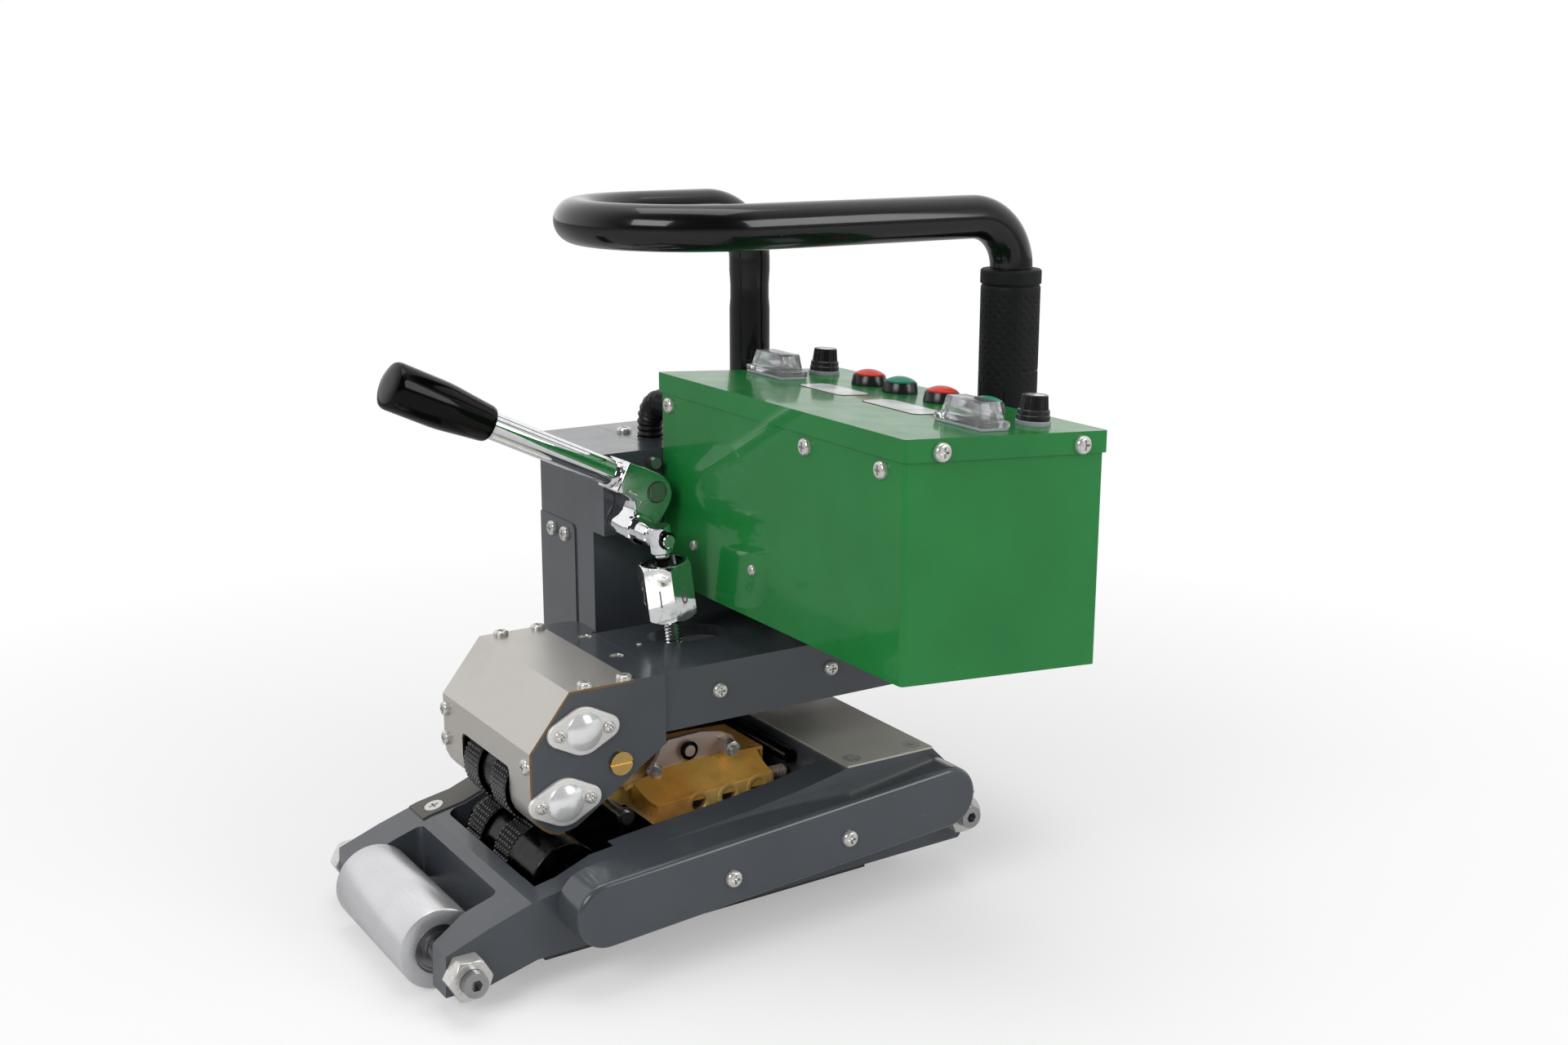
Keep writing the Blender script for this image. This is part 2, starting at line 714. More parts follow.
# ---------------------------------------------------------------- rollers
@dataclass
class StuddedRoller:
    """A drive roller: shaft, drum, hub and two bands of pyramid studs."""

    node: str
    body: str
    near_end: Profile
    far_end: Profile
    sprocket_y: float | None = None
    bands: Profile = ((-18.7, -2.2), (14.3, 30.8))
    radius: float = 19.3
    root: float = 18.2
    waist: float = 16.5
    land: float = 0.75
    columns: int = 6
    rows: int = 46
    pitch_radius: float = 11.59
    teeth: int = 12
    tooth_width: float = 1.4
    tooth_turn: float = 71.0
    tooth: Profile = ((0.0, -1.9), (0.2, -1.2), (0.38, 0.9), (0.62, 0.9), (0.8, -1.2))

    def studs(self, low: float, high: float) -> Shape:
        """A closed band of studs round +Z between two heights."""
        band = Shape()
        bmesh.ops.create_cone(band.bm, cap_ends=True, cap_tris=False, segments=self.rows, radius1=self.root,
                              radius2=self.root, depth=high - low)
        bmesh.ops.subdivide_edges(band.bm, edges=band.upright(), cuts=self.columns - 1, use_grid_fill=True)
        cells = [f for f in band.bm.faces if len(f.verts) == 4 and abs(f.normal.z) < 0.5]
        bmesh.ops.inset_individual(band.bm, faces=cells, thickness=self.land, depth=self.radius - self.root,
                                   use_even_offset=True)
        return band.move(0, 0, (low + high) / 2)

    def sprocket(self) -> Shape:
        """A chain wheel with round tooth gaps, centred on z = 0."""
        outline = []
        for i in range(self.teeth):
            for share, rise in self.tooth:
                turn, r = math.tau * (i + share) / self.teeth, self.pitch_radius + rise
                outline.append((r * math.cos(turn), r * math.sin(turn)))
        return Shape.plate(outline, self.tooth_width).move(0, 0, -self.tooth_width / 2)

    def build(self, bench: Bench) -> None:
        """Make the roller's pieces."""
        at = bench.axle(self.body + "_spin")
        seats = [(self.root, y) for band in self.bands for y in band]
        seats[2:2] = [(self.waist, y) for _, y in seats[1:3]]
        core = Shape.lathe([*self.near_end, *seats, *self.far_end], 64)
        if self.sprocket_y is not None:
            core.add(self.sprocket().turn(self.tooth_turn, Axis.Z).move(0, 0, self.sprocket_y))
        bench.piece(self.node + "_drum", core.aim(at, FAR), Finishes.BLACKED, self.body, (self.node,))
        studs = Shape.joined(self.studs(*band) for band in self.bands)
        bench.piece(self.node + "_studs", studs.aim(at, FAR), Finishes.STUDS, self.body, sharp=20.0)


@dataclass
class GuideRoller:
    """Turned aluminium roller with a bearing in each end."""

    node: str
    low: float
    high: float
    radius: float = 20.0
    seat: float = 12.0
    bore: float = 6.1
    edge: float = 1.0
    inset: float = 1.2

    def build(self, bench: Bench) -> None:
        """Make the shell and its bearings."""
        at = bench.axle(self.node + "_spin")
        r, seat, bore = self.radius, self.seat, self.bore
        end = [(seat, 5.0), (seat, 0.4), (seat + 0.5, 0.0), (r - self.edge, 0.0), (r - 0.3, 0.3),
               (r, self.edge)]
        shell = [(a, self.low + b) for a, b in end] + [(a, self.high - b) for a, b in reversed(end)]
        shell = Shape.lathe([*shell, shell[0]], 96)
        bench.piece(self.node + "_shell", shell.aim(at, FAR), Finishes.ROLLER, self.node, (self.node,))
        ring = [(bore, 4.0), (bore, 0.2), (bore + 0.2, 0.0), (8.0, 0.0), (8.2, 0.5), (10.3, 0.5), (10.5, 0.0),
                (seat - 0.3, 0.0), (seat - 0.05, 0.3), (seat - 0.05, 4.0), (bore, 4.0)]
        races = Shape.joined(Shape.lathe([(a, start + way * b) for a, b in ring], 64)
                             for start, way in ((self.low + self.inset, 1), (self.high - self.inset, -1)))
        bench.piece(self.node + "_bearings", races.aim(at, FAR), Finishes.STEEL, self.node)


# ---------------------------------------------------------------- handle
@dataclass
class Handle:
    """Bent tube handle with its rubber sleeve."""

    tube: float = 11.1
    top: float = 349.6
    near_y: float = -48.0
    far_y: float = 65.5
    rear_x: float = 328.4
    front_x: float = 237.5
    loop_x: float = 168.0
    bend: float = 27.5
    foot: float = 142.0
    front_foot: float = 221.5
    waist: Profile = ((6, 1.0), (8, 0.955), (7, 1.0), (6, 1.045))
    bend_steps: int = 14
    loop_steps: int = 34
    sleeve: float = 16.0
    sleeve_z: Flat = (200.0, 321.8)
    sleeve_fit: float = 0.02
    sleeve_rows: int = 150
    sleeve_sides: int = 160
    ring_drop: float = 8.3
    ring_groove: Flat = (1.5, 0.9)
    skin: float = 0.35
    panels: Flat = (-75.0, 105.0)
    panel_half: float = 62.0
    panel_drop: Flat = (44.0, 10.0)
    panel_line: float = 1.1
    panel_margin: Flat = (4.0, 1.6)
    mm_per_degree: float = 0.28
    dots_below_ring: Flat = (52.0, 3.0)
    dots: tuple[float, float, float, float] = (18.0, 5.4, 0.72, 0.75)
    knurl_rise: float = 0.3
    lip: Flat = (0.8, 0.9)

    def frame_tube(self) -> Shape:
        """The tube from the rear socket round the loop to the tower."""
        rest = self.top - self.bend
        pipe = Pipe(self.tube, (self.rear_x, self.near_y, self.foot), UP, 48)
        pipe.run(rest - self.foot - 6).run(6)
        pipe.bend(FRONT, self.bend, 90, self.bend_steps)
        pipe.run(self.rear_x - self.bend - self.loop_x)
        pipe.bend(FAR, (self.far_y - self.near_y) / 2, 180, self.loop_steps)
        pipe.run(self.front_x - self.bend - self.loop_x)
        pipe.bend(DOWN, self.bend, 90, self.bend_steps)
        for length, grow in self.waist:
            pipe.run(length, grow)
        pipe.run(rest - self.front_foot - sum(length for length, _ in self.waist))
        return pipe.close()

    def groove(self, turn: float, z: float) -> float:
        """Depth of the sleeve's relief at a place.

        Args:
            turn: angle round the sleeve, in degrees, 0 to the front and 90 to the far side.
            z: height.

        Returns:
            How far the surface lies below the outside, in millimetres.
        """
        ring = self.sleeve_z[1] - self.ring_drop
        deep, half = self.ring_groove
        depth = deep * max(0.0, 1.0 - abs(z - ring) / half)
        if z < ring:
            depth = max(depth, self.skin)
        arc_turn = (turn + 180.0) % 360.0 - 180.0
        wide, line = self.panel_half, self.panel_line
        for middle in self.panels:
            off = abs((arc_turn - middle + 180.0) % 360.0 - 180.0)
            crown = ring - self.panel_drop[0] - self.panel_drop[1] * (off / wide) ** 4
            edge = max(0.0, 1.0 - abs(off - wide) * self.mm_per_degree / line) if z < crown else 0.0
            cap = max(0.0, 1.0 - abs(z - crown) / line) if off < wide else 0.0
            depth = max(depth, line * edge, line * cap)
            if off < wide - self.panel_margin[0] and z < crown - self.panel_margin[1]:
                depth = max(depth, self.knurl(arc_turn, z))
            elif ring - self.dots_below_ring[0] < z < ring - self.dots_below_ring[1]:
                columns, pitch, level, deep = self.dots
                if math.cos(math.radians(arc_turn) * columns) * math.cos(z * math.tau / pitch) > level:
                    depth = max(depth, deep)
        return depth

    def knurl(self, turn: float, z: float, wrap: float = 0.279, pitch: float = 3.0) -> float:
        """Depth of the crossed knurl in the sleeve's panels."""
        a = math.sin((turn * wrap + z) * pitch)
        b = math.sin((turn * wrap - z) * pitch)
        return self.skin - self.knurl_rise * abs(a * b)

    @staticmethod
    def set_radius(vert: bmesh.types.BMVert, radius: float) -> None:
        """Move a point straight in or out from the Z axis."""
        flat = Vector((vert.co.x, vert.co.y, 0)).normalized() * radius
        vert.co = Vector((flat.x, flat.y, vert.co.z))

    def sleeve_shape(self) -> Shape:
        """Rubber sleeve with its end ring, grooves, dots and knurl."""
        low, high = self.sleeve_z
        shape = Shape()
        bmesh.ops.create_cone(shape.bm, cap_ends=False, segments=self.sleeve_sides,
                              radius1=self.sleeve, radius2=self.sleeve, depth=high - low)
        bmesh.ops.subdivide_edges(shape.bm, edges=shape.upright(), cuts=self.sleeve_rows, use_grid_fill=True)
        shape.move(0, 0, (low + high) / 2)
        fall, reach = self.lip
        for vert in shape.bm.verts:
            turn = math.degrees(math.atan2(vert.co.y, vert.co.x)) - 180.0
            lip = min(vert.co.z - low, high - vert.co.z)
            drop = self.groove(turn, vert.co.z) + fall * max(0.0, 1.0 - lip / reach) ** 2
            self.set_radius(vert, self.sleeve - drop)
        bores = []
        for rim in [[e for e in shape.open_edges() if abs(e.verts[0].co.z - z) < 0.2] for z in (low, high)]:
            verts, edges = shape.draw_out(rim)
            bores += edges
            for vert in verts:
                self.set_radius(vert, self.tube + self.sleeve_fit)
        bmesh.ops.bridge_loops(shape.bm, edges=bores)
        return shape.outward().move(self.rear_x, self.near_y, 0)

    def build(self, bench: Bench) -> None:
        """Make the handle's pieces."""
        bench.piece("handle_bent_tube", self.frame_tube(), Finishes.TUBE, "chassis", ("handle_tube",))
        bench.piece("handle_sleeve", self.sleeve_shape(), Finishes.RUBBER, "chassis", ("handle_grip",), 60.0)


# ---------------------------------------------------------------- lever and pressure link
@dataclass
class Lever:
    """Chrome pressure lever with its black hand knob."""

    y: Flat = (28.6, 51.4)
    rod: float = 7.0
    start: Flat = (138.1, 217.6)
    angle: float = 25.65
    length: float = 76.0
    knob_length: float = 57.0
    barrel: float = 5.9
    barrel_y: float = 12.4
    pin: float = 3.5
    pin_y: float = 0.2
    clip_radii: Flat = (4.7, 2.8)
    clip_gap: float = 40.0
    clip_sheet: float = 0.9
    outline: Profile = (
        (142.0, 225.2), (152.0, 221.0), (159.6, 217.4), (163.2, 214.6), (166.0, 210.8), (167.2, 206.2),
        (166.6, 202.2), (164.6, 198.4), (161.0, 193.2), (157.4, 188.4), (153.4, 184.4), (150.0, 182.4),
        (147.1, 181.8), (143.6, 182.6), (141.0, 185.0), (140.0, 188.4), (140.6, 191.6), (142.4, 194.6),
        (144.2, 197.6), (144.9, 200.4), (144.4, 203.4), (142.6, 205.8), (139.6, 207.8), (134.6, 210.0))
    fillet: Profile = (
        (0, -3), (8.3, -3), (8.2, 0.3), (7.9, 1.1), (7.5, 2.0), (7.0, 2.5), (0, 2.5))

    def body_shape(self, crank: Place) -> Shape:
        """The lever's cast body: rounded plate, crank barrel, near step and the rod's weld."""
        near, far = self.y
        plate = Shape.plate(self.outline, far - near).round_edges(0.9, 3, 24.0)
        plate.turn(90.0, Axis.X).move(0, far, 0)
        r, low = self.barrel, self.barrel_y
        barrel = [(0.0, low), (r - 0.6, low), (r, low + 0.6), (r, far - 1.0), (0.0, far - 1.0)]
        step = [(0.0, near - 2.6), (7.4, near - 2.6), (8.0, near - 2.0), (8.0, near + 2), (0.0, near + 2)]
        return plate.add(Shape.lathe(barrel, 40).aim(crank, FAR)).add(Shape.lathe(step, 56).aim(crank, FAR))

    def clip(self) -> Shape:
        """Open spring clip of the pin."""
        outer, inner = self.clip_radii
        first, sweep = self.clip_gap / 2, 360.0 - self.clip_gap
        ring = arc(outer, first, sweep, 16) + arc(inner, first + sweep, -sweep, 16)
        return Shape.plate(ring, self.clip_sheet)

    def build(self, bench: Bench) -> None:
        """Make the lever's pieces."""
        turn = math.radians(self.angle)
        along = Vector((-math.cos(turn), 0, math.sin(turn)))
        middle = Vector((self.start[0], sum(self.y) / 2, self.start[1]))
        crank = bench.axle("link_swing")
        cast = self.body_shape(crank).add(Shape.lathe(self.fillet, 40).aim(middle, along))
        bench.piece("lever_cast_body", cast, Finishes.CHROME, "lever", ("lever_body",), sharp=38.0)
        r, end = self.rod, self.length + 20
        rod = Shape.lathe([(0, -5), (r, -5), (r, end - 1), (r - 1, end), (0, end)])
        bench.piece("lever_bar", rod.aim(middle, along), Finishes.CHROME, "lever", ("lever_rod",))
        n, bore = self.knob_length, r + 0.05
        knob = Shape.lathe(
            [(bore, 20), (bore, 0.3), (8.2, 0), (8.9, 0.3), (9.3, 1.0), (9.6, 3), (10.6, 13), (11.6, 22),
             (11.95, 26), (12.1, 30), (12.25, n - 4), (12.1, n - 2.2), (11.5, n - 1.0), (10.4, n - 0.4),
             (7, n + 0.1), (3.5, n + 0.3), (0, n + 0.35)], 72)
        bench.piece("lever_knob_moulding", knob.aim(middle + along * self.length, along), Finishes.KNOB,
                    "lever", ("lever_knob",))
        r, y = self.pin, self.pin_y
        pin = Shape.lathe([(0, y - 4), (r - 0.4, y - 4), (r, y - 3.6), (r, y - 2), (2.7, y - 2), (2.7, y - 1),
                           (r, y - 1), (r, 40), (0, 40)], 36)
        bench.piece("link_pin", pin.aim(crank, FAR), Finishes.CHROME, "lever", ("crank_pin",))
        clip = self.clip().move(0, 0, y - 1.95)
        bench.piece("link_pin_clip", clip.aim(crank, FAR, 60.0), Finishes.BLACKED, "lever")


@dataclass
class PressureLink:
    """Threaded pressure rod and its long setting nut."""

    foot: Place = (156.3, 6.0, 118.5)
    head: float = 5.8
    neck: float = 3.7
    core: float = 3.6
    crest: float = 4.3
    pitch: float = 1.75
    span: Flat = (12.5, 43.0)
    flats: float = 25.0
    nut_turn: float = 44.5
    cup_depth: float = 11.0
    trunnion: Profile = ((0, -10), (4.9, -10), (5.5, -9.4), (5.5, 9.4), (4.9, 10), (0, 10))
    digit_size: float = 13.5
    digit_width: float = 0.72
    digit_height: float = 0.03

    def build(self, bench: Bench) -> None:
        """Make the rod, its foot and the nut."""
        crank = bench.axle("link_swing")
        foot = Vector(self.foot)
        top = Vector((crank[0], foot.y, crank[2]))
        down, length = (foot - top).normalized(), (foot - top).length
        r, h = self.head, self.span[0] + self.cup_depth + 1
        profile = [(0, -6.6), (r - 0.5, -6.6), (r, -6.1), (r, 7.2), (r - 0.9, 8.0), (self.neck, 8.4),
                   (self.neck, h)]
        while h < length - 6:
            profile += [(self.core, h + 0.25), (self.crest, h + self.pitch * 0.45),
                        (self.crest, h + self.pitch * 0.6)]
            h += self.pitch
        profile += [(self.core, h), (self.core, length), (0, length)]
        rod = Shape.lathe(profile, 36).aim(top, down)
        rod.add(Shape.lathe(self.trunnion, 32).aim(foot, FAR))
        bench.piece("pressure_rod_threaded", rod, Finishes.CHROME, "link", ("pressure_rod",))
        bench.refined("adjuster_nut", Finishes.WORN_CHROME, 0.7, 3, 28.0)
        self.digits(bench, top, down)

    def digits(self, bench: Bench, top: Vector, down: Vector) -> None:
        """Engraved index numbers 1 to 6 on the nut's flats.

        Args:
            bench: where the pieces are made.
            top: the link's upper pivot.
            down: the rod's direction.
        """
        middle = top + down * (sum(self.span) / 2 + 2)
        marks = Shape()
        lean = UP.rotation_difference(down)
        for i in range(6):
            text = bpy.data.curves.new("digit", "FONT")
            fill(text, body=str((i + 2) % 6 + 1), size=self.digit_size, extrude=self.digit_height,
                 align_x="CENTER", align_y="CENTER")
            holder = bpy.data.objects.new("digit", text)
            mesh = bpy.data.meshes.new_from_object(holder)
            angle = math.radians(self.nut_turn + 60 * i + 30)
            out = lean @ Vector((math.cos(angle), math.sin(angle), 0))
            side = (-down).cross(out) * self.digit_width
            place = Matrix((side, -down, out)).transposed().to_4x4()
            place.translation = middle + out * (self.flats / 2 + 0.01)
            mesh.transform(place)
            marks.bm.from_mesh(mesh)
            bpy.data.objects.remove(holder)
            bpy.data.curves.remove(text)
            bpy.data.meshes.remove(mesh)
        bench.piece("adjuster_index_marks", marks.merged(SAME_POINT), Finishes.ETCHED, "adjuster")


# ---------------------------------------------------------------- hot wedge
@dataclass
class HotWedge:
    """Heated block, curved shoe, link plate and cartridges."""

    holes: tuple[Place, ...] = ((149.5, 55.2, 4.6), (167.3, 55.8, 4.6), (184.7, 56.8, 4.6))
    near_y: float = -28.0
    ridge_y: float = -10.3
    far_y: float = 30.0
    ridge: Profile = (
        (116.0, 64.2), (121.0, 65.9), (127.0, 67.8), (133.0, 69.5), (139.0, 70.8), (148.0, 71.6),
        (160.0, 72.0), (172.0, 71.9), (184.0, 71.5), (195.0, 71.0))
    rear_end: Profile = ((199.0, 70.8), (199.0, 64.0), (199.0, 59.2))
    sheet: float = 1.6
    legs: Flat = (140.0, 172.0)
    leg_width: float = 8.0
    leg_y: Flat = (2.0, 26.0)
    leg_z: Flat = (60.2, 69.6)
    skirt_steps: tuple[int, int] = (12, 24)
    skirt_x: tuple[float, float, float] = (125.2, 121.0, 194.6)
    skirt_laps: Flat = (0.25, 3.0)
    skirt_foot: float = 58.75
    skirt_level_to: float = 126.0
    skirt_rise: float = 0.0638
    skirt_curve: float = 2.1
    skirt_low: float = 57.0
    nut_at: Place = (175.0, -16.0, 76.5)
    screw_at: Place = (133.8, -9.6, 69.6)
    clip_at: Place = (152.6, -11.6, 78.3)
    stud: Profile = ((0, 0), (2.6, 0), (2.6, 4.6), (2.1, 5.1), (0, 5.1))
    screw: Profile = ((0, 0), (4.3, 0), (4.3, 0.8), (3.1, 0.8), (3.1, 2.8), (2.6, 3.4), (0, 3.5))
    clip: Profile = ((3.1, 0), (5.0, 0), (5.0, 1.0), (3.1, 1.0), (3.1, 0))
    collar: Profile = ((-0.5, 1.4), (-0.3, -0.2), (0.4, -0.5), (1.9, -0.3), (2.2, 0.4), (-0.5, 1.4))

    def crest(self, x: float) -> float:
        """Height of the shoe's ridge at a place along the wedge."""
        for (x0, z0), (x1, z1) in zip(self.ridge, self.ridge[1:]):
            if x <= x1:
                return z0 + (z1 - z0) * (x - x0) / (x1 - x0)
        return self.ridge[-1][1]

    def shoe(self) -> Shape:
        """Curved sheet over the block, with its turned-down rear end and two legs."""
        shape = Shape()
        across = (self.ridge_y + 0.4, 10.0, self.far_y)
        lines = [[shape.bm.verts.new((x, y, z)) for y in across] for x, z in (*self.ridge, *self.rear_end)]
        for a, b in zip(lines, lines[1:]):
            shape.strip(a, b, False)
        shape.outward()
        bmesh.ops.solidify(shape.bm, geom=shape.bm.faces, thickness=self.sheet)
        shape.outward()
        for x in self.legs:
            low, high = zip((x, x + self.leg_width), self.leg_y, self.leg_z)
            shape.add(Shape.box(low, high).round_edges(0.4))
        return shape

    def skirt(self) -> Shape:
        """Solid sweep from the block's near edge up to the ridge."""
        shape = Shape()
        across, along = self.skirt_steps
        first, ridge_first, last = self.skirt_x
        edge_y, back_y = self.near_y + self.skirt_laps[0], self.ridge_y + self.skirt_laps[1]
        rows = []
        for i in range(along + 1):
            row = []
            for j in range(across + 1):
                t = j / across
                start = first - (first - ridge_first) * t
                x = start + (last - start) * i / along
                low = self.skirt_foot + max(0.0, x - self.skirt_level_to) * self.skirt_rise
                z = low + (self.crest(x) - low) * t ** self.skirt_curve
                row.append((x, edge_y + (self.ridge_y - edge_y) * t, z))
            row += [(x, back_y, self.crest(x)), (x, back_y, self.skirt_low),
                    (row[0][0], edge_y, self.skirt_low)]
            rows.append([shape.bm.verts.new(point) for point in row])
        for a, b in zip(rows, rows[1:]):
            shape.strip(a, b, True)
        shape.bm.faces.new(rows[0])
        shape.bm.faces.new(rows[-1])
        return shape.outward()

    def fasteners(self) -> Shape:
        """Bright nut, stud and washers on the link plate."""
        shape = Shape.plate(arc(4.7, 12, 300, 5), 3.2).round_edges(0.45, 2, 24.0).aim(self.nut_at, NEAR)
        shape.add(Shape.lathe(self.stud, 32).aim(self.nut_at, NEAR))
        return shape.add(Shape.lathe(self.screw, 36).aim(self.screw_at, NEAR))

    def build(self, bench: Bench) -> None:
        """Make the wedge's pieces."""
        bench.refined("wedge_block", Finishes.COPPER, 0.35)
        bench.piece("wedge_curved_shoe", self.shoe(), Finishes.SHOE, "wedge", ("wedge_shoe",), 40.0)
        bench.piece("wedge_swept_side", self.skirt(), Finishes.SHOE, "wedge", sharp=40.0)
        bench.refined("wedge_bracket", Finishes.EDGE, 0.3)
        bench.piece("link_plate_fasteners", self.fasteners(), Finishes.ZINC, "wedge")
        clip = Shape.lathe(self.clip, 36).aim(self.clip_at, NEAR)
        bench.piece("link_plate_clip", clip, Finishes.BLACKED, "wedge")
        bench.dress("wedge_heaters", Finishes.STEEL)
        rings = Shape.joined(
            Shape.lathe([(r + a, b) for a, b in self.collar], 44).aim((x, self.near_y, z), FAR)
            for x, z, r in self.holes)
        bench.piece("heater_collars", rings, Finishes.COPPER, "wedge")


# ---------------------------------------------------------------- control lid
@dataclass
class ControlLid:
    """Switch hoods, knobs, buttons and legend plates on the sloping lid."""

    lid_z: float = 266.6
    slope: float = 0.0637
    edge_x: float = 172.6
    row_x: float = 264.5
    row_y: float = 31.5
    step: float = 35.2
    drop: float = 7.4
    knobs: tuple[int, ...] = (0, 5)
    buttons: tuple[int, ...] = (1, 2, 3, 4)
    switches: Profile = ((232.0, 29.0), (230.5, -141.0))
    labels: tuple[tuple[float, float, float, float], ...] = (
        (223.0, 243.0, -45.0, -4.0), (223.0, 243.0, -108.0, -61.0))
    label_corner: float = 3.0
    border_layer: Flat = (0.0, 0.22)
    plate_layer: Flat = (-0.5, 0.3)
    hood_outside: tuple[Place, ...] = (
        (8.1, 18.0, 1.5), (8.1, 18.0, 4.3), (6.9, 14.8, 4.6), (5.8, 12.6, 12.8))
    hood_inside: tuple[Place, ...] = ((6.1, 13.9, 1.5), (5.8, 13.3, 4.6), (4.9, 11.7, 11.8))
    frame: tuple[Place, Place] = ((-8.1, -17.4, 0), (8.1, 17.4, 1.45))
    cup: Profile = (
        (6.0, -8), (9.2, 0.0), (9.35, 0.4), (9.25, 1.2), (8.6, 5.1), (8.4, 5.45), (8.05, 5.5), (7.95, 5.2),
        (7.9, 2.6), (6.0, 2.6), (6.0, -8))
    dome: Profile = (
        (0, -5), (5.85, -5), (5.85, 5.35), (7.6, 5.35), (7.7, 5.5), (7.65, 6.1), (7.3, 6.35), (6, 7.0),
        (4.5, 7.6), (3, 8.0), (1.5, 8.22), (0, 8.3))
    base_ring: Profile = (
        (3.1, 0.0), (8.4, 0.0), (8.5, 0.3), (8.4, 1.9), (8.1, 2.1), (3.1, 2.1), (3.1, 0.0))
    flutes: int = 24
    flute_radii: tuple[float, ...] = (6.85, 6.85, 6.35, 6.35)
    cap_z: Flat = (7.3, 6.6)
    cap_taper: float = 0.9
    skirt: Profile = (
        (0, 2.3), (7.8, 2.3), (8.0, 2.6), (7.9, 4.4), (7.6, 4.7), (7.6, 6.8), (7.1, 7.4), (0, 7.4))
    crown: Profile = (
        (0, 13.5), (6.1, 13.5), (6.15, 13.8), (5.9, 14.1), (5.1, 14.1), (5.0, 13.8), (0, 13.8))
    inlay: Profile = ((0, 13.7), (4.9, 13.7), (4.9, 13.95), (4.6, 14.05), (0, 14.05))

    def on_lid(self, shape: Shape, x: float, y: float) -> Shape:
        """Put a shape built on the XY plane onto the lid."""
        shape.turn(math.degrees(math.atan(self.slope)), Axis.Y)
        return shape.move(x, y, self.lid_z - self.slope * (x - self.edge_x))

    def at_row(self, shape: Shape, i: int) -> Shape:
        """Put a shape at knob or button i of the control row."""
        return self.on_lid(shape, self.row_x, self.row_y - i * self.step - (self.drop if i == 1 else 0.0))

    @staticmethod
    def hood_half(levels: tuple[Place, ...]) -> Shape:
        """A rectangular shell through (half x, half y, z) levels, open at the bottom."""
        shape = Shape()
        rings = [[shape.bm.verts.new(p) for p in ((-x, -y, z), (x, -y, z), (x, y, z), (-x, y, z))]
                 for x, y, z in levels]
        for a, b in zip(rings, rings[1:]):
            shape.strip(b, a, True)
        shape.bm.faces.new(rings[-1])
        return shape

    def hood(self) -> Shape:
        """Clear hood with a flanged foot."""
        shape = self.hood_half(self.hood_outside).add(self.hood_half(self.hood_inside))
        bmesh.ops.bridge_loops(shape.bm, edges=shape.open_edges())
        return shape.outward().round_edges(0.4, 2, 15.0)

    def knob(self) -> Shape:
        """Fluted knob on a stepped skirt."""
        outline = []
        points = self.flutes * len(self.flute_radii)
        for i in range(points):
            turn, r = math.tau * i / points, self.flute_radii[i % len(self.flute_radii)]
            outline.append((r * math.cos(turn), r * math.sin(turn)))
        low, height = self.cap_z
        cap = Shape.plate(outline, height)
        top = [v for v in cap.bm.verts if v.co.z > height / 2]
        bmesh.ops.scale(cap.bm, vec=(self.cap_taper, self.cap_taper, 1.0), verts=top)
        return cap.move(0, 0, low).add(Shape.lathe(self.skirt)).add(Shape.lathe(self.crown))

    def legends(self, bench: Bench) -> None:
        """Make the blank legend plates and their borders."""
        plates, borders = Shape(), Shape()
        c = self.label_corner
        for x0, x1, y0, y1 in self.labels:
            for target, (grow, level) in ((borders, self.border_layer), (plates, self.plate_layer)):
                a, b = (x1 - x0) / 2 + grow, (y1 - y0) / 2 + grow
                ring = [(-a, -b + c), (-a + c, -b), (a - c, -b), (a, -b + c), (a, b - c), (a - c, b),
                        (-a + c, b), (-a, b - c)]
                target.add(self.on_lid(Shape.plate(ring, level), (x0 + x1) / 2, (y0 + y1) / 2))
        bench.piece("legend_plates", plates, Finishes.LEGEND, "chassis", ("label_plates",))
        bench.piece("legend_borders", borders, Finishes.BORDER, "chassis")

    def build(self, bench: Bench) -> None:
        """Make the lid's small pieces."""
        hoods = Shape.joined(self.on_lid(self.hood(), x, y) for x, y in self.switches)
        bench.piece("switch_hoods", hoods, Finishes.HOOD, "chassis", ("switch_covers",), sharp=25.0)
        frames = Shape.joined(self.on_lid(Shape.box(*self.frame).round_edges(0.3), x, y)
                              for x, y in self.switches)
        bench.piece("switch_frames", frames, Finishes.SMOKE, "chassis")
        cups = Shape.joined(self.at_row(Shape.lathe(self.cup, 56), i) for i in self.buttons)
        bench.piece("button_cups", cups, Finishes.PLASTIC, "chassis", ("control_bezels",))
        rings = Shape.joined(self.at_row(Shape.lathe(self.base_ring), i) for i in self.knobs)
        bench.piece("knob_base_rings", rings, Finishes.SMOKE, "chassis")
        for number, i in enumerate(self.knobs, 1):
            node = f"knob_{number}"
            bench.piece(node + "_fluted", self.at_row(self.knob(), i), Finishes.PLASTIC, node, (node,), 24.0)
            bench.piece(node + "_inlay", self.at_row(Shape.lathe(self.inlay, 40), i), Finishes.ZINC, node)
        for number in self.buttons:
            node = f"button_{number}"
            finish = Finishes.RED if number % 2 else Finishes.GREEN
            bench.piece(node + "_dome", self.at_row(Shape.lathe(self.dome), number), finish, node, (node,))
        for number in (1, 2):
            bench.refined(f"rocker_{number}", Finishes.PLASTIC, 0.3)
        self.legends(bench)


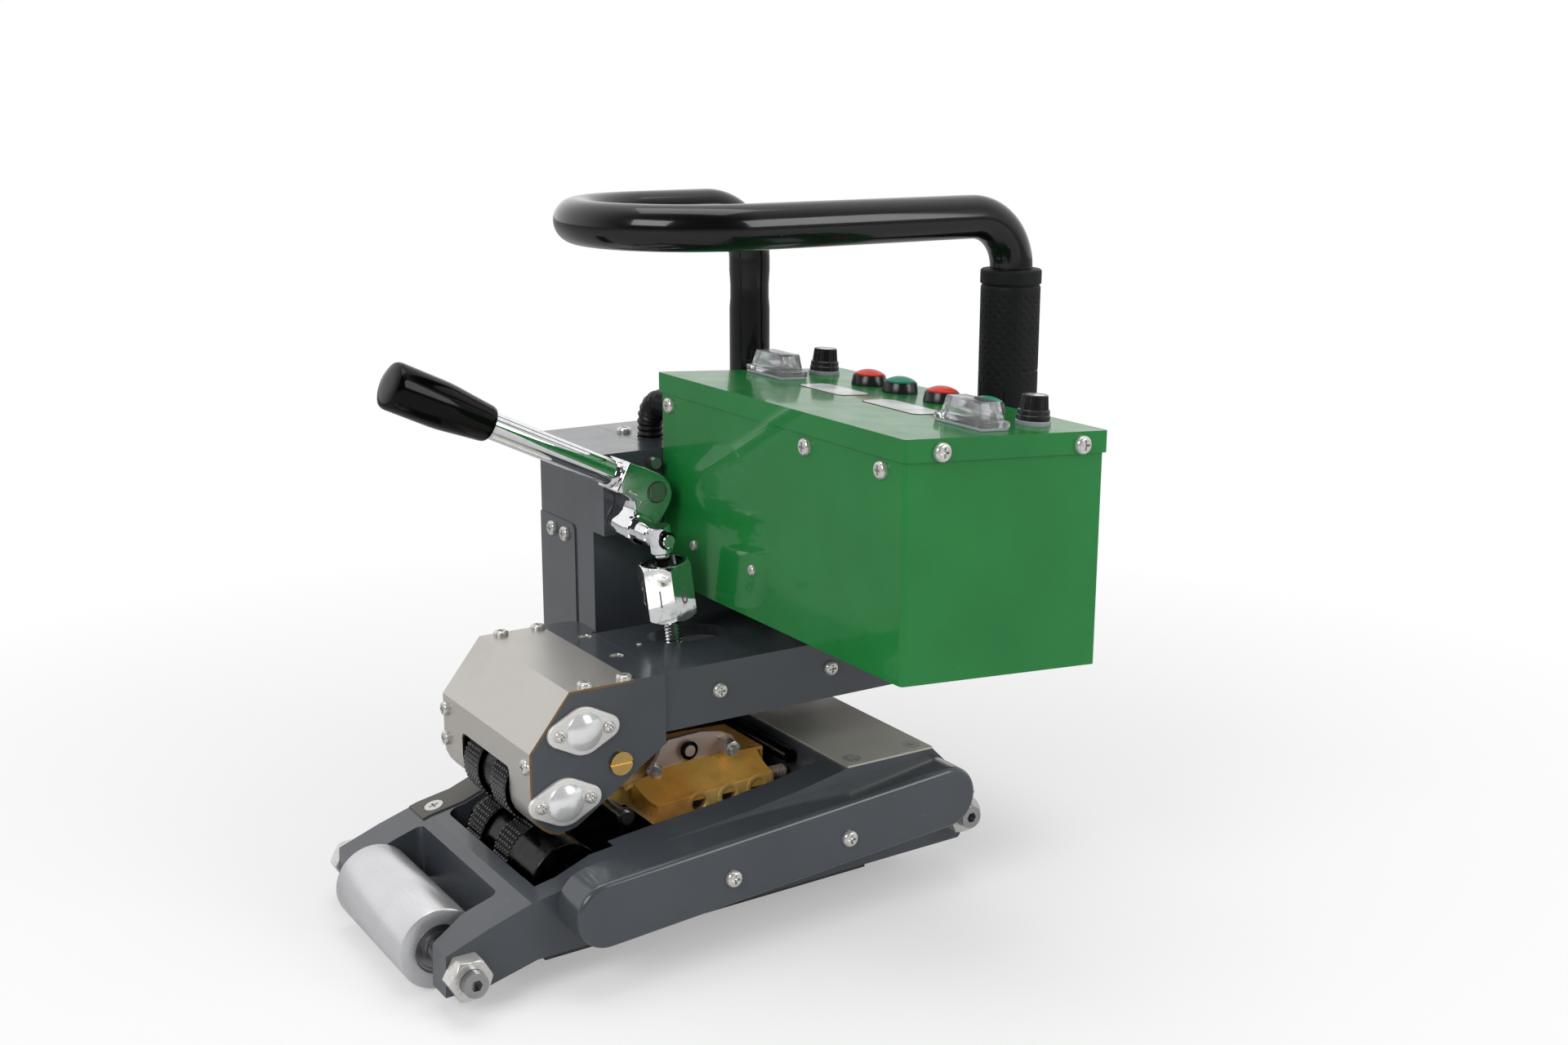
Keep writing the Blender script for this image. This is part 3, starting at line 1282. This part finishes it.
# ---------------------------------------------------------------- castings and the rest
@dataclass
class Castings:
    """Painted castings, folded sheets and fasteners that keep their CAD shape."""

    rounded: dict[str, tuple[Finish, float]] = field(default_factory=lambda: {
        "chassis_casting": (Finishes.CASTING, 0.6), "drive_cover": (Finishes.CASTING, 0.5),
        "tower_housing": (Finishes.CASTING, 0.45), "tower_cover": (Finishes.CASTING, 0.2),
        "gearbox_housing": (Finishes.CASTING, 0.6), "rear_yoke": (Finishes.CASTING, 0.8),
        "upper_arm": (Finishes.CASTING, 0.45), "head_block": (Finishes.CASTING, 0.5),
        "box_body": (Finishes.BOX, 0.6), "box_lid": (Finishes.BOX, 0.8),
        "head_cover": (Finishes.COVER, 0.35), "rear_plate": (Finishes.DECK, 0.2),
        "axle_nuts": (Finishes.ZINC, 0.3), "brass_screw": (Finishes.BRASS, 0.25),
        "roller_bracket": (Finishes.STEEL, 0.5)})
    dressed: dict[str, Finish] = field(default_factory=lambda: {
        "bottom_plate": Finishes.SKID, "side_strip": Finishes.STRIP, "deck_screws": Finishes.ZINC,
        "frame_screws": Finishes.ZINC, "head_screws": Finishes.ZINC, "front_axle": Finishes.STEEL,
        "rear_cross_bolt": Finishes.STEEL, "drive_chain": Finishes.CHAIN, "head_chain": Finishes.CHAIN,
        "pivot_pins": Finishes.STEEL, "drive_motor": Finishes.STEEL, "control_electronics": Finishes.BOARD,
        "wedge_guides": Finishes.BLACKED, "lower_sprocket": Finishes.CHAIN, "rear_shaft": Finishes.STEEL,
        "head_shaft": Finishes.STEEL})

    def build(self, bench: Bench) -> None:
        """Round the castings' edges and dress the other nodes."""
        for node, (finish, width) in self.rounded.items():
            piece = bench.refined(node, finish, width)
            if node == "head_cover":
                self.scorch(piece)
        for node, finish in self.dressed.items():
            bench.dress(node, finish)

    @staticmethod
    def scorch(piece: bpy.types.Object) -> None:
        """Give the cut edge on the near side its heat tint."""
        piece.data.materials.append(Finishes.SCORCHED.material())
        for face in piece.data.polygons:
            if face.normal.dot(NEAR) > 0.99:
                face.material_index = 1


@dataclass
class SmallTrim:
    """Bearing caps, seam, hole rims, the arm's pin and the ribbed conduit boot."""

    conduit: float = 7.5
    rib: float = 0.86
    conduit_at: Flat = (184.5, 84.0)
    conduit_top: float = 246.0
    conduit_end: float = 51.0
    conduit_bend: float = 14.0
    conduit_ribs: tuple[int, int, int] = (6, 12, 10)
    tower_top: float = 225.5
    seam_x: Flat = (172.3, 172.65)
    seam_y: Flat = (62.0, 129.4)
    seam_z: Flat = (-0.3, 0.03)
    cap_y: float = -44.0
    cap_plate: float = 2.4
    cap_arcs: tuple[tuple[float, float, float, float], ...] = (
        (0.0, 12.0, 62.5, 55.0), (-13.0, 6.0, 117.5, 125.0), (0.0, 12.0, 242.5, 55.0),
        (13.0, 6.0, 297.5, 125.0))
    cap_dome: Profile = (
        (0, -1), (9.8, -1), (9.8, 0.25), (9.55, 0.3), (9.5, 0.7), (9.1, 1.1), (8.3, 1.6), (7.2, 2.15),
        (5.8, 2.7), (4.2, 3.15), (2.2, 3.5), (0, 3.65))
    rim: Profile = ((3.2, -1.6), (3.5, -1.6), (3.65, 0.02), (3.5, 0.03), (3.3, -0.4), (3.2, -1.6))
    rims_at: tuple[Place, ...] = ((115.5, 31.5, 134.6), (114.8, -5.6, 134.6))
    dowel: Profile = ((0, -3), (1.45, -3), (1.45, 0.35), (1.1, 0.6), (0, 0.7))
    dowel_at: Place = (133.6, 5.1, 134.4)

    def caps(self, bench: Bench) -> None:
        """Rhombic bearing caps with polished domes on the head's near cheek."""
        outline = []
        for middle, r, first, sweep in self.cap_arcs:
            outline += arc(r, first, sweep, 12, middle)
        plates, domes = Shape(), Shape()
        for joint, shift in (("head_shaft_spin", 0.0), ("pressure_roller_spin", 1.2)):
            x, _, z = bench.axle(joint)
            plate = Shape.plate(outline, self.cap_plate).merged(0.01).round_edges(0.45, 3, 24.0)
            plates.add(plate.turn(90.0, Axis.X).move(x + shift, self.cap_y, z))
            top = (x + shift, self.cap_y - self.cap_plate, z)
            domes.add(Shape.lathe(self.cap_dome, 72).aim(top, NEAR))
        bench.piece("bearing_cap_plates", plates, Finishes.FLANGE, "arm", ("flange_caps",))
        bench.piece("bearing_cap_domes", domes, Finishes.DOME, "arm")

    def boot(self) -> Shape:
        """Ribbed elbow from the tower into the control box."""
        ribs = (1 / self.rib, self.rib)
        start = self.tower_top - 3
        pipe = Pipe(self.conduit * self.rib, (*self.conduit_at, start), UP)
        rise = self.conduit_top - self.conduit_bend - start
        run = self.conduit_at[1] - self.conduit_bend - self.conduit_end
        up, round_bend, out = self.conduit_ribs
        for i in range(up):
            pipe.run(rise / up, ribs[i % 2])
        pipe.bend(NEAR, self.conduit_bend, 90, round_bend, ribs)
        for i in range(out):
            pipe.run(run / out, ribs[i % 2])
        return pipe.close()

    def build(self, bench: Bench) -> None:
        """Make the trim."""
        self.caps(bench)
        bench.piece("conduit_bellows", self.boot(), Finishes.BELLOWS, "chassis", ("conduit",), sharp=50.0)
        low, high = zip(self.seam_x, self.seam_y, (self.tower_top + z for z in self.seam_z))
        bench.piece("tower_top_seam", Shape.box(low, high), Finishes.SKID, "chassis")
        rims = Shape.joined(Shape.lathe(self.rim, 40).move(*place) for place in self.rims_at)
        bench.piece("head_hole_rims", rims, Finishes.ZINC, "arm")
        bench.piece("arm_dowel", Shape.lathe(self.dowel, 24).move(*self.dowel_at), Finishes.ZINC, "arm")


# ---------------------------------------------------------------- stage
@dataclass
class Stage:
    """Pale floor, soft lamps and the camera."""

    eye: Place = (-287.0, -790.5, 418.0)
    yaw: float = 32.6
    pitch: float = 13.7
    roll: float = 0.16
    lens: float = 41.83
    floor_span: float = 12.0
    floor_drop: float = -0.0005
    fade_span: Flat = (0.28, 0.75)
    fade_to_white: Flat = (0.35, 1.0)
    reflected_floor_fade: float = 0.35
    white: tuple[float, float, float, float] = (1.0, 1.0, 1.0, 1.0)
    lamps: tuple[tuple[str, Place, float, Flat], ...] = (
        ("key", (-1.5, -0.7, 1.2), 15.0, (1.0, 0.8)), ("fill", (0.9, -1.5, 0.9), 9.5, (0.7, 0.9)),
        ("top", (0.1, 0.1, 1.9), 10.0, (1.4, 1.0)))
    lamp_aim: Place = (0.0, 0.0, 0.15)
    doorway: Place = (-0.52, -0.81, 0.25)
    doorway_edge: Flat = (-0.2, 0.75)
    doorway_light: Flat = (1.0, 0.035)
    room_light: float = 0.5

    def camera(self, bench: Bench) -> None:
        """Put the camera in place."""
        data = bpy.data.cameras.new("camera")
        fill(data, sensor_width=36.0, lens=self.lens, clip_start=0.01)
        camera = put("camera", data)
        yaw, pitch, roll = (math.radians(v) for v in (self.yaw, self.pitch, self.roll))
        ahead = Vector((math.sin(yaw) * math.cos(pitch), math.cos(yaw) * math.cos(pitch), -math.sin(pitch)))
        level = Vector((math.cos(yaw), -math.sin(yaw), 0))
        down = ahead.cross(level)
        right = level * math.cos(roll) - down * math.sin(roll)
        up = -(level * math.sin(roll) + down * math.cos(roll))
        matrix = Matrix((right, up, -ahead)).transposed().to_4x4()
        matrix.translation = Vector(self.eye) * MM + bench.offset
        camera.matrix_world = matrix
        bpy.context.scene.camera = camera

    def floor(self) -> None:
        """A pale floor that turns white away from the machine and dark in reflections."""
        bm = bmesh.new()
        bmesh.ops.create_circle(bm, cap_ends=True, radius=self.floor_span, segments=64)
        mesh = bpy.data.meshes.new("floor")
        bm.to_mesh(mesh)
        bm.free()
        floor = put("floor", mesh)
        floor.location = (0, 0, self.floor_drop)
        paint = bpy.data.materials.new("floor_paint")
        paint.use_nodes = True
        graph = Graph(paint.node_tree)
        pale = graph.add("BsdfPrincipled", in_Base_Color=(0.9, 0.9, 0.9, 1.0), in_Roughness=0.7,
                         in_Specular_IOR_Level=0.2)
        white = graph.add("Emission", in_Strength=1.0)
        dark = graph.add("Emission", in_Strength=0.0)
        span = graph.add("VectorMath", operation="LENGTH", in_0=graph.where["Object"])
        path = graph.add("LightPath").outputs
        seen = graph.combine("MAXIMUM", path["Is Camera Ray"], path["Is Transmission Ray"])
        whiter = graph.ramp(span.outputs["Value"], self.fade_span, self.fade_to_white)
        far = graph.combine("MULTIPLY", seen, whiter)
        fade = graph.combine("MULTIPLY", path["Is Glossy Ray"], self.reflected_floor_fade)
        bright = graph.add("MixShader", in_0=far, in_1=pale.outputs[0], in_2=white.outputs[0])
        room = graph.add("MixShader", in_0=fade, in_1=bright.outputs[0], in_2=dark.outputs[0])
        graph.add("OutputMaterial", in_Surface=room.outputs[0])
        mesh.materials.append(paint)

    def world(self) -> None:
        """White room all round, with a dark doorway on the operator's side."""
        world = bpy.data.worlds.new("studio")
        bpy.context.scene.world = world
        world.use_nodes = True
        graph = Graph(world.node_tree)
        facing = graph.add("VectorMath", operation="DOT_PRODUCT", in_0=graph.where["Generated"],
                           in_1=self.doorway)
        room = graph.ramp(facing.outputs["Value"], self.doorway_edge, self.doorway_light,
                          interpolation_type="SMOOTHSTEP")
        path = graph.add("LightPath").outputs
        mirror = graph.add("Mix", data_type="FLOAT", in_0=path["Is Glossy Ray"], in_2=self.room_light,
                           in_3=room)
        seen = graph.combine("MAXIMUM", path["Is Camera Ray"], path["Is Transmission Ray"])
        level = graph.add("Mix", data_type="FLOAT", in_0=seen, in_2=mirror.outputs[0], in_3=1.0)
        back = graph.add("Background", in_Color=self.white, in_Strength=level.outputs[0])
        graph.add("OutputWorld", in_Surface=back.outputs[0])

    def light(self) -> None:
        """Hang the soft rectangular lamps and point them at the machine."""
        for name, place, power, span in self.lamps:
            data = bpy.data.lights.new(name, "AREA")
            fill(data, shape="RECTANGLE", size=span[0], size_y=span[1], energy=power)
            lamp = put(name, data)
            lamp.location = place
            aim = Vector(self.lamp_aim) - Vector(place)
            lamp.rotation_euler = aim.to_track_quat("-Z", "Y").to_euler()

    def build(self, bench: Bench) -> None:
        """Set the stage."""
        self.camera(bench)
        self.floor()
        self.world()
        self.light()
        bpy.context.scene.view_settings.view_transform = "Standard"


def main() -> None:
    """Build every sub-assembly in order and keep the two sizes."""
    logging.basicConfig(level=logging.INFO, format="%(name)s: %(message)s", stream=sys.stdout)
    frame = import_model()
    bench = Bench(frame)
    lower = StuddedRoller(
        "lower_roller", "drive_roller",
        ((0, -78), (8, -78), (8, -47), (18.0, -47), (18.5, -46.5), (18.5, -18.7)),
        ((12, 30.8), (12, 44), (8, 44), (8, 63), (0, 63)))
    upper = StuddedRoller(
        "pressure_roller", "pressure_roller", ((0, -43.7), (7, -43.7), (7, -34), (11, -34), (11, -18.7)),
        ((8.5, 30.8), (8.5, 52), (7, 52), (7, 60), (0, 60)), 47.0)
    guides = GuideRoller("front_roller", -43.0, 45.5), GuideRoller("rear_roller", -30.0, 30.0)
    for part in (Stage(), Castings(), lower, upper, *guides, Handle(), Lever(), PressureLink(), HotWedge(),
                 ControlLid(), SmallTrim()):
        part.build(bench)
    bpy.context.view_layer.update()


if __name__ == "__main__":
    main()
